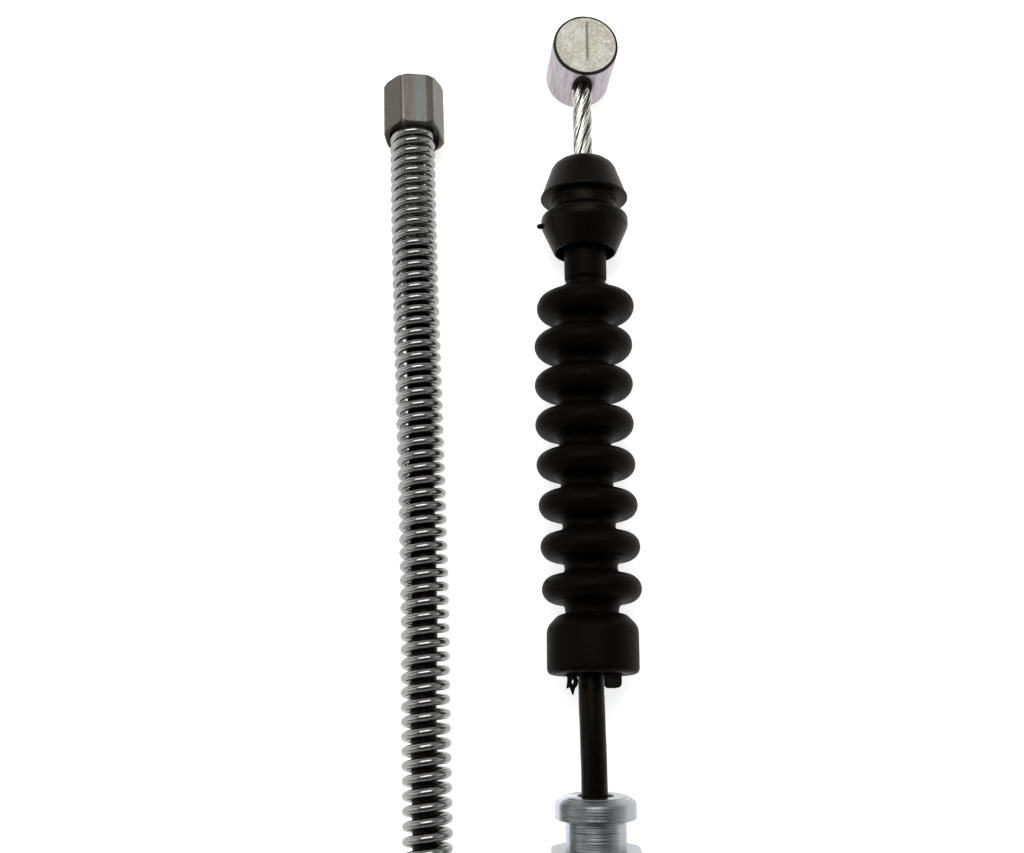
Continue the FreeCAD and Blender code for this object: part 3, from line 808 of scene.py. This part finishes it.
def hex_solid(corner_r, start, end, turn, bevel_start, bevel_end, bore, bore_end=None, skirt=None):
    """A hexagonal prism along Y with a round bore that goes right through, or in from the start to bore_end.

    A bevel is the (depth, height) of a cone cut, and turn is a corner's angle from +X. A skirt is
    (inner radius, reach): the rim at the start reaches out by that much on the lower side.
    """
    flat_r = corner_r * math.cos(math.radians(30))

    def radius(angle, y):
        local = ((math.degrees(angle) - turn) % 60.0) - 30.0
        flat = min(flat_r / math.cos(math.radians(local)), corner_r - 0.12)
        cone = flat
        if y < start + bevel_start[1]:
            cone = corner_r - bevel_start[0] * (1 - (y - start) / bevel_start[1])
        if y > end - bevel_end[1]:
            cone = corner_r - bevel_end[0] * (1 - (end - y) / bevel_end[1])
        return min(flat, cone)

    stations = [start]
    stations += [start + bevel_start[1] * k / BEVEL_ROWS for k in range(1, BEVEL_ROWS + 1)]
    stations += [start + (end - start) * k / 8 for k in range(3, 6)]
    stations += [end - bevel_end[1] * k / BEVEL_ROWS for k in range(BEVEL_ROWS, 0, -1)]
    stations.append(end)
    rows = [[(radius(TAU * k / HEX_SIDES, y), y) for k in range(HEX_SIDES)] for y in stations]
    inside = [(bore, end), (bore, start)]
    if bore_end:
        inside = [(0.001, end), (0.001, bore_end), (bore, bore_end), (bore, start)]
    if skirt:
        inside += [(skirt[0], start), (skirt[0], start - 0.01)]
    rows += [[point] * HEX_SIDES for point in inside]
    rim = [*range(BEVEL_ROWS + 1), len(rows) - 1] if skirt else []
    verts, faces = [], []
    for i, row in enumerate(rows):
        for k, (r, y) in enumerate(row):
            a = TAU * k / HEX_SIDES
            verts.append(Vector((r * math.cos(a), y, r * math.sin(a))))
            if i in rim:
                verts[-1].y -= skirt[1] * smooth(SKIRT_TOP, SKIRT_LOW, verts[-1].z)
    for i in range(len(rows)):
        here, there = i * HEX_SIDES, (i + 1) % len(rows) * HEX_SIDES
        for k in range(HEX_SIDES):
            n = (k + 1) % HEX_SIDES
            faces.append((here + k, here + n, there + n, there + k))
    return verts, faces


ferrule_piece = make("turned_ferrule", ferrule(), FERRULE, "casing", ["lever_ferrule"], 25.0)
nut_mesh = hex_solid(NUT_CORNER_R, NUT_BACK, NUT_FRONT, 30.0, (0.7, 0.5), (0.7, 0.5), NECK_R)
nut_piece = make("hex_nut", nut_mesh, FERRULE, "casing", ["lever_hex_nut"], 25.0)


def sleeve(front):
    """The crimp sleeve that holds the conduit, with two crimped bands, ending at the front."""
    back, low = -CASING_LENGTH, SLEEVE_R - CRIMP_DENT
    points = [(CONDUIT_R, back), (SLEEVE_R - 0.4, back, 0.2), (SLEEVE_R, 0.4 + back, 0.2)]
    for y in (8.0 + back, 12.5 + back):
        points += [(SLEEVE_R, y - 1.3, 0.4), (low, y - 0.7, 0.4), (low, y + 0.7, 0.4),
                   (SLEEVE_R, y + 1.3, 0.4)]
    points += [(SLEEVE_R, front - 0.4, 0.2), (SLEEVE_R - 0.4, front, 0.2), (CONDUIT_R, front)]
    return lathe(rounded(points, 5), 96)


lever_sleeve = make("lever_sleeve", sleeve(LEVER_SLEEVE_FRONT), FERRULE, "casing",
                    ["lever_crimp_sleeve"], 25.0)


# ---------------------------------------------------------------- wheel end

SPRING_R, WIRE_R, SPRING_TURNS = 3.75, 0.70, 59
SPRING_STEPS = 40
SPRING_END_GAP = 0.05
FITTING_START, FITTING_END, FITTING_CORNER_R, FITTING_TURN = 118.4, 126.9, 5.1, -11.2
FITTING_BORE_END = 124.0
FITTING_SKIRT = (4.12, 1.9)
WHEEL_STRAND_START, WHEEL_STRAND_END, WHEEL_STRAND_ROLL = 96.5, 120.0, 0.4
WHEEL_COAT_START, WHEEL_COAT_END = -6.0, 98.0


def spring():
    """Right-handed helix with one closed turn at each end, its pitch smaller towards the fitting."""
    start, end = WIRE_R + SPRING_END_GAP, FITTING_START - WIRE_R - SPRING_END_GAP
    mean_r = SPRING_R - WIRE_R
    closed = 2 * WIRE_R + 0.04
    open_pitch = (end - start - 2 * closed * 0.95) / (SPRING_TURNS - 2)
    points = []
    y = start
    for i in range(SPRING_TURNS * SPRING_STEPS + 1):
        t = i / SPRING_STEPS
        points.append(Vector((mean_r * math.cos(TAU * t), y, -mean_r * math.sin(TAU * t))))
        opened = min(smooth(0.0, 1.4, t), smooth(0.0, 1.4, SPRING_TURNS - t))
        along = y / end
        wider = 1.05 + 0.03 * along - 0.24 * along**2
        y += (closed + (open_pitch * wider - closed) * opened) / SPRING_STEPS
    scale = (end - start) / (points[-1].y - start)
    for p in points:
        p.y = start + (p.y - start) * scale
        p.x += 0.32 * smooth(-2.0, 8.0, p.y) + 0.13 * smooth(24.0, 38.0, p.y)
        p.x -= 0.75 * smooth(35.0, 110.0, p.y)
    return tube_along(points, WIRE_R, 16)


def wheel_path(start, end, step):
    """The inner cable's middle, leaning a little to one side inside the spring."""
    path = straight(start, end, step)
    for p, y in path:
        p.x += 0.40 * smooth(24.0, 38.0, y) * (1 - smooth(44.0, 100.0, y))
    return path


wheel_strand_line = wheel_path(WHEEL_STRAND_START, WHEEL_STRAND_END, STRAND_STEP)
wheel_strand = make("wheel_strand_wires", strand(wheel_strand_line, WHEEL_STRAND_ROLL), WHEEL, "wheel_cable",
                    ["wheel_strand"])
wheel_coat_line = [p for p, _ in wheel_path(WHEEL_COAT_START, WHEEL_COAT_END, 0.8)]
wheel_coat_piece = make("wheel_coat", tube_along(wheel_coat_line, COAT_R, 28), WHEEL, "wheel_cable",
                        ["wheel_core_coat"])
spring_piece = make("coil_spring", spring(), WHEEL, "casing", ["return_spring"], 60.0)
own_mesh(spring_piece)
fitting_mesh = hex_solid(FITTING_CORNER_R, FITTING_START, FITTING_END, FITTING_TURN, (0.45, 0.4), (0.45, 0.5),
                         STRAND_R + 0.02, FITTING_BORE_END, FITTING_SKIRT)
fitting = make("crimped_fitting", fitting_mesh, WHEEL, "wheel_cable", ["end_fitting"], 25.0)


def wheel_ferrule():
    """The ferrule's spigot for the seat, its shank with a clip groove, its flange and its neck."""
    profile = rounded([
        (3.3, -1.2), (4.6, -1.2, 0.2), (4.6, -4.0, 0.3), (6.5, -4.0, 0.2), (7.0, -4.5, 0.2), (7.0, -5.5, 0.1),
        (6.2, -5.5, 0.1), (6.2, -6.7, 0.1), (7.0, -6.7, 0.1), (7.0, WHEEL_FLANGE_FRONT, 0.4),
        (WHEEL_FLANGE_R, WHEEL_FLANGE_FRONT, 0.3), (WHEEL_FLANGE_R, -15.8, 0.4), (NECK_R, -15.8),
        (NECK_R, -19.0), (FERRULE_BORE_R, -19.0), (FERRULE_BORE_R, -3.5), (3.3, -3.5),
    ], 4)
    return lathe(profile, 128)


wheel_ferrule_piece = make("wheel_casting", wheel_ferrule(), WHEEL, "casing",
                           ["wheel_ferrule"], 25.0)
wheel_sleeve = make("wheel_sleeve", sleeve(WHEEL_SLEEVE_FRONT), WHEEL, "casing",
                    ["wheel_crimp_sleeve"], 25.0)
seat = rounded([(2.2, -1.2, 0.1), (4.9, -1.2, 0.2), (4.9, 1.0, 0.2), (4.0, 1.0, 0.2), (4.0, 0, 0.2),
                (2.2, 0, 0.1)])
seat_piece = make("seat_washer", lathe(seat, 96), WHEEL, "casing", ["spring_seat"], 25.0)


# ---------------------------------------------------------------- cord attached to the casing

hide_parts("lever_conduit", "conduit_coil", "wheel_conduit")
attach(conduit, "casing")


# ---------------------------------------------------------------- looks

rubber = dusty_black("boot_rubber", (0.0016, 0.0011, 0.0008), (0.06, 0.052, 0.046), 0.30, 0.42, 0.60)
rubber.shine(0.045, True).on(boot, collar_piece)


def cap_look():
    """Hard black plastic with faint turning lines and a soft, warm shine."""
    s = Shader("cap_plastic")
    lines = s.rings(5.0, 3.0)
    fine = s.noise(4.0, 6.0)
    s.colour(s.mix(s.between(fine, 0.5, 0.8), (0.0020, 0.0014, 0.0009), (0.007, 0.0055, 0.004)))
    s.rough(s.between(lines, 0.3, 0.7, 0.28, 0.44))
    s.shine(0.085, True)
    s.bump(lines, 0.02)
    s.bump(s.noise(5.0, 5.0), 0.008)
    return s


cap_look().on(cap_piece)


def coat_look():
    """Smooth black plastic, a little uneven along the cable."""
    s = Shader("coat_plastic")
    fine = s.noise(2.0, 6.0)
    s.colour(s.mix(s.between(fine, 0.45, 0.8), (0.0014, 0.0011, 0.0007), (0.0045, 0.004, 0.003)))
    s.rough(s.between(fine, 0.3, 0.7, 0.24, 0.40))
    s.shine(0.07, True)
    s.bump(s.noise(1.2, 4.0, stretch=(1.0, 0.25, 1.0)), 0.03)
    return s


coat_look().on(coat, wheel_coat_piece)


def wire_look(name, light, dark, low, high):
    """Drawn wire, slightly mottled."""
    s = Shader(name)
    fine = s.noise(2.4, 6.0, 0.65)
    s.colour(s.mix(s.between(fine, 0.35, 0.7), light, dark))
    s.rough(s.between(s.noise(8.0, 4.0), 0.3, 0.7, low, high))
    s.metal()
    s.bump(s.noise(14.0, 4.0), 0.004)
    return s


def strand_look():
    """Bare rope wire: bright on the outside of the rope, nearly black deeper in, between its strands."""
    s = Shader("strand_steel")
    radius = s.axis_distance()
    fine = s.noise(2.4, 6.0, 0.65)
    wire = s.mix(s.between(fine, 0.35, 0.7), (0.80, 0.80, 0.74), (0.42, 0.43, 0.38))
    s.colour(s.mix(s.between(radius, 1.12, 1.48), (0.06, 0.055, 0.04), wire))
    s.rough(s.between(s.noise(8.0, 4.0), 0.3, 0.7, 0.20, 0.38))
    s.metal()
    s.bump(s.noise(14.0, 4.0), 0.004)
    return s


strand_look().on(lever_strand, wheel_strand)
wire_look("spring_wire", (0.33, 0.328, 0.318), (0.235, 0.232, 0.222), 0.16, 0.28).on(spring_piece)
bright_plate("zinc_plate", (0.28, 0.29, 0.295), (0.12, 0.125, 0.12), painted_reflections=True).on(ferrule_piece)
bright_plate("sleeve_plate").on(nut_piece, lever_sleeve, wheel_sleeve, seat_piece)
casting_look = bright_plate("wheel_casting_zinc", (0.66, 0.67, 0.68), (0.5, 0.51, 0.52), 0.3, 0.5)
casting_look.on(wheel_ferrule_piece)


def barrel_look():
    """Cast zinc: a pale pitted face with a scribed line, a dark broken edge, and a greyer, streaked side."""
    s = Shader("cast_zinc")
    radius = s.axis_distance()
    end = s.math("ABSOLUTE", s.y)
    half = BARREL_H / 2
    is_face = s.math("MULTIPLY", s.between(radius, 4.93, 4.85), s.between(end, half - 0.35, half - 0.25))
    rim = s.math("MULTIPLY", s.between(radius, 4.85, 4.93), s.between(end, half - 0.50, half - 0.42))
    fine = s.noise(2.6, 8.0, 0.75)
    streak = s.noise(1.6, 5.0, 0.6, stretch=(1.0, 0.12, 1.0))
    side = s.mix(s.between(streak, 0.35, 0.65), (0.50, 0.455, 0.48), (0.32, 0.28, 0.305))
    # painted shade: the side is painted nearly black in an oval round the gate's recess, on the side where
    # the strand goes in, standing for the shade in the recess
    gate = s.math("ADD", s.math("POWER", s.math("DIVIDE", s.x, 2.0), 2.0),
                  s.math("POWER", s.math("DIVIDE", s.math("SUBTRACT", s.y, 1.5), 4.1), 2.0))
    painted_recess_shade = s.math("MULTIPLY", s.between(gate, 1.1, 0.45), s.between(s.z, 0.0, 1.0))
    side = s.mix(s.math("MULTIPLY", painted_recess_shade, 0.92), side, (0.035, 0.03, 0.027))
    face = s.mix(s.between(fine, 0.36, 0.64), (0.80, 0.77, 0.66), (0.36, 0.325, 0.25))
    face = s.mix(s.math("MULTIPLY", s.between(s.noise(0.6, 3.0), 0.45, 0.7), 0.5), face, (0.97, 0.96, 0.90))
    ring = s.between(s.math("ABSOLUTE", s.math("SUBTRACT", radius, 4.35)), 0.14, 0.03)
    ring = s.math("MULTIPLY", ring, s.between(s.noise(0.9, 2.0), 0.45, 0.6, 0.0, 0.5))
    face = s.mix(ring, face, (0.30, 0.28, 0.22))
    line = s.math("MULTIPLY", s.between(s.math("ABSOLUTE", s.math("SUBTRACT", s.x, 0.25)), 0.34, 0.06),
                  s.math("MULTIPLY", s.between(s.z, -4.5, -3.9), s.between(s.z, 3.1, 2.4)))
    face = s.mix(s.math("MULTIPLY", line, s.between(fine, 0.3, 0.6, 1.0, 0.75)), face, (0.13, 0.105, 0.07))
    nick = s.math("MULTIPLY", s.between(s.math("ABSOLUTE", s.math("ADD", s.z, 0.8)), 0.16, 0.05),
                  s.between(s.math("ABSOLUTE", s.math("SUBTRACT", s.x, 3.5)), 0.75, 0.6))
    face = s.mix(nick, face, (1.0, 0.99, 0.95))
    s.colour(s.mix(is_face, s.mix(rim, side, (0.012, 0.011, 0.010)), face))
    s.metal(s.between(is_face, 0.0, 1.0, 0.70, 0.08))
    s.rough(s.between(s.noise(3.0, 6.0), 0.3, 0.7, 0.34, 0.52))
    s.bump(s.math("MULTIPLY", line, is_face), -0.05)
    s.bump(fine, 0.035)
    return s


barrel_look().on(casting)


def fitting_look():
    """Dull browned steel with stretched streaks and specks, and painted light: painted shade on its left
    side, a paler bluish painted highlight strip on the front with a painted dark reflection band beside it,
    and a thin painted edge highlight.
    """
    s = Shader("fitting_steel")
    streak = s.noise(1.6, 6.0, 0.65, stretch=(1.0, 0.10, 1.0))
    fine = s.noise(4.0, 8.0, 0.7)
    wander = s.math("ADD", s.x, s.between(streak, 0.2, 0.8, -0.12, 0.12))
    base = s.mix(s.between(streak, 0.35, 0.65), (0.165, 0.155, 0.13), (0.105, 0.093, 0.075))
    # painted shade: darker towards the left side, where x falls below about -1.4
    base = s.mix(s.between(wander, -1.40, -1.65), base, (0.07, 0.058, 0.042))
    # painted highlight: a paler bluish strip on the front, x from about 0.2 to 2.4
    pale = s.math("MULTIPLY", s.between(wander, 0.2, 0.9), s.between(wander, 2.4, 2.1))
    base = s.mix(s.math("MULTIPLY", pale, 0.6), base, (0.18, 0.20, 0.20))
    # painted dark reflection band just right of the painted highlight, x from about 2.2 to 3.3
    dark = s.math("MULTIPLY", s.between(wander, 2.2, 2.5), s.between(wander, 3.3, 3.1))
    base = s.mix(s.math("MULTIPLY", dark, 0.65), base, (0.055, 0.042, 0.03))
    # painted edge highlight: a thin light line near x = -1.5
    painted_edge_highlight = s.between(s.math("ABSOLUTE", s.math("ADD", s.x, 1.50)), 0.22, 0.06)
    base = s.mix(s.math("MULTIPLY", painted_edge_highlight, 0.7), base, (0.30, 0.285, 0.25))
    s.colour(s.mix(s.math("MULTIPLY", s.between(fine, 0.55, 0.75), 0.4), base, (0.07, 0.05, 0.035)))
    s.metal(0.5)
    s.rough(s.between(fine, 0.3, 0.7, 0.30, 0.48))
    s.bump(streak, 0.03)
    s.bump(fine, 0.01)
    return s


fitting_look().on(fitting)


def nodes(*names):
    return [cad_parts[name] for name in names]


def jacket_look():
    """Matt black conduit plastic, slightly scuffed."""
    s = Shader("jacket_plastic", False)
    fine = s.noise(1.5, 7.0, 0.65)
    s.colour(s.mix(s.between(fine, 0.45, 0.75), (0.005, 0.005, 0.005), (0.018, 0.018, 0.018)))
    s.rough(s.between(fine, 0.3, 0.7, 0.30, 0.48))
    s.bump(s.noise(0.9, 6.0), 0.03)
    return s


jacket_look().on(conduit, *nodes("lever_jacket_end", "wheel_jacket_end"))


def plain_look(name, light, dark, low, high, metal=0.0):
    """A slightly mottled plain material, for pieces that keep their CAD shape."""
    s = Shader(name, False)
    fine = s.noise(2.0, 7.0, 0.65)
    s.colour(s.mix(s.between(fine, 0.4, 0.7), light, dark))
    s.rough(s.between(fine, 0.3, 0.7, low, high))
    s.metal(metal)
    s.bump(s.noise(3.0, 6.0), 0.01)
    return s


liner = plain_look("liner_plastic", (0.80, 0.79, 0.75), (0.70, 0.69, 0.65), 0.4, 0.55)
liner.on(*nodes("lever_liner", "wheel_liner"))
armour = plain_look("armour_steel", (0.45, 0.46, 0.47), (0.3, 0.3, 0.31), 0.3, 0.45, 1.0)
armour.on(*nodes("lever_armour_end", "wheel_armour_end"))
seal = plain_look("seal_rubber", (0.02, 0.02, 0.02), (0.04, 0.04, 0.04), 0.5, 0.7)
seal.on(*nodes("lever_wiper_seal", "wheel_wiper_seal"))
tie = plain_look("tie_plastic", (0.76, 0.75, 0.70), (0.66, 0.65, 0.60), 0.35, 0.5)
tie.on(*nodes("coil_ties"))


# ---------------------------------------------------------------- floor and light

FLOOR_HALF = 3.0
floor_mesh = bpy.data.meshes.new("floor")
floor_mesh.from_pydata([(FLOOR_HALF * x, FLOOR_HALF * y, 0) for x, y in ((-1, -1), (1, -1), (1, 1), (-1, 1))],
                       [], [(0, 1, 2, 3)])
floor = bpy.data.objects.new("floor", floor_mesh)
bpy.context.scene.collection.objects.link(floor)
floor_look = bpy.data.materials.new("floor")
floor_look.use_nodes = True
paint = floor_look.node_tree.nodes["Principled BSDF"]
paint.inputs["Base Color"].default_value = (0.95, 0.95, 0.95, 1.0)
paint.inputs["Roughness"].default_value = 0.9
paint.inputs["Specular IOR Level"].default_value = 0.1
paint.inputs["Emission Color"].default_value = (1.0, 1.0, 1.0, 1.0)
paint.inputs["Emission Strength"].default_value = 0.65
floor_mesh.materials.append(floor_look)

world = bpy.data.worlds.new("studio")
world.use_nodes = True
bpy.context.scene.world = world
tree = world.node_tree
background = tree.nodes["Background"]
where = tree.nodes.new("ShaderNodeTexCoord")
apart = tree.nodes.new("ShaderNodeSeparateXYZ")
ramp = tree.nodes.new("ShaderNodeValToRGB")
tree.links.new(where.outputs["Generated"], apart.inputs[0])
tree.links.new(apart.outputs["Z"], ramp.inputs["Fac"])
tree.links.new(ramp.outputs["Color"], background.inputs["Color"])
ramp.color_ramp.elements[0].position = 0.25
ramp.color_ramp.elements[0].color = (0.95, 0.98, 1.0, 1.0)
ramp.color_ramp.elements[1].position = 0.80
ramp.color_ramp.elements[1].color = (0.07, 0.07, 0.075, 1.0)
background.inputs["Strength"].default_value = 0.6


def softbox(name, place, size, power):
    """A rectangular area light that shines on the middle of the scene."""
    data = bpy.data.lights.new(name, "AREA")
    data.shape = "RECTANGLE"
    data.size, data.size_y = size
    data.energy = power
    lamp = bpy.data.objects.new(name, data)
    bpy.context.scene.collection.objects.link(lamp)
    lamp.location = place
    lamp.rotation_mode = "QUATERNION"
    lamp.rotation_quaternion = (-Vector(place)).to_track_quat("-Z", "Y")


softbox("key", (-0.05, 0.30, 0.80), (0.80, 0.42), 4.4)
softbox("fill_left", (-0.9, 0.0, 0.45), (0.5, 1.0), 1.6)
softbox("fill_right", (0.9, 0.1, 0.5), (0.4, 1.0), 0.7)

view = bpy.context.scene.view_settings
view.view_transform = "Standard"
view.look = "None"
view.exposure = 0.0

bpy.context.view_layer.update()
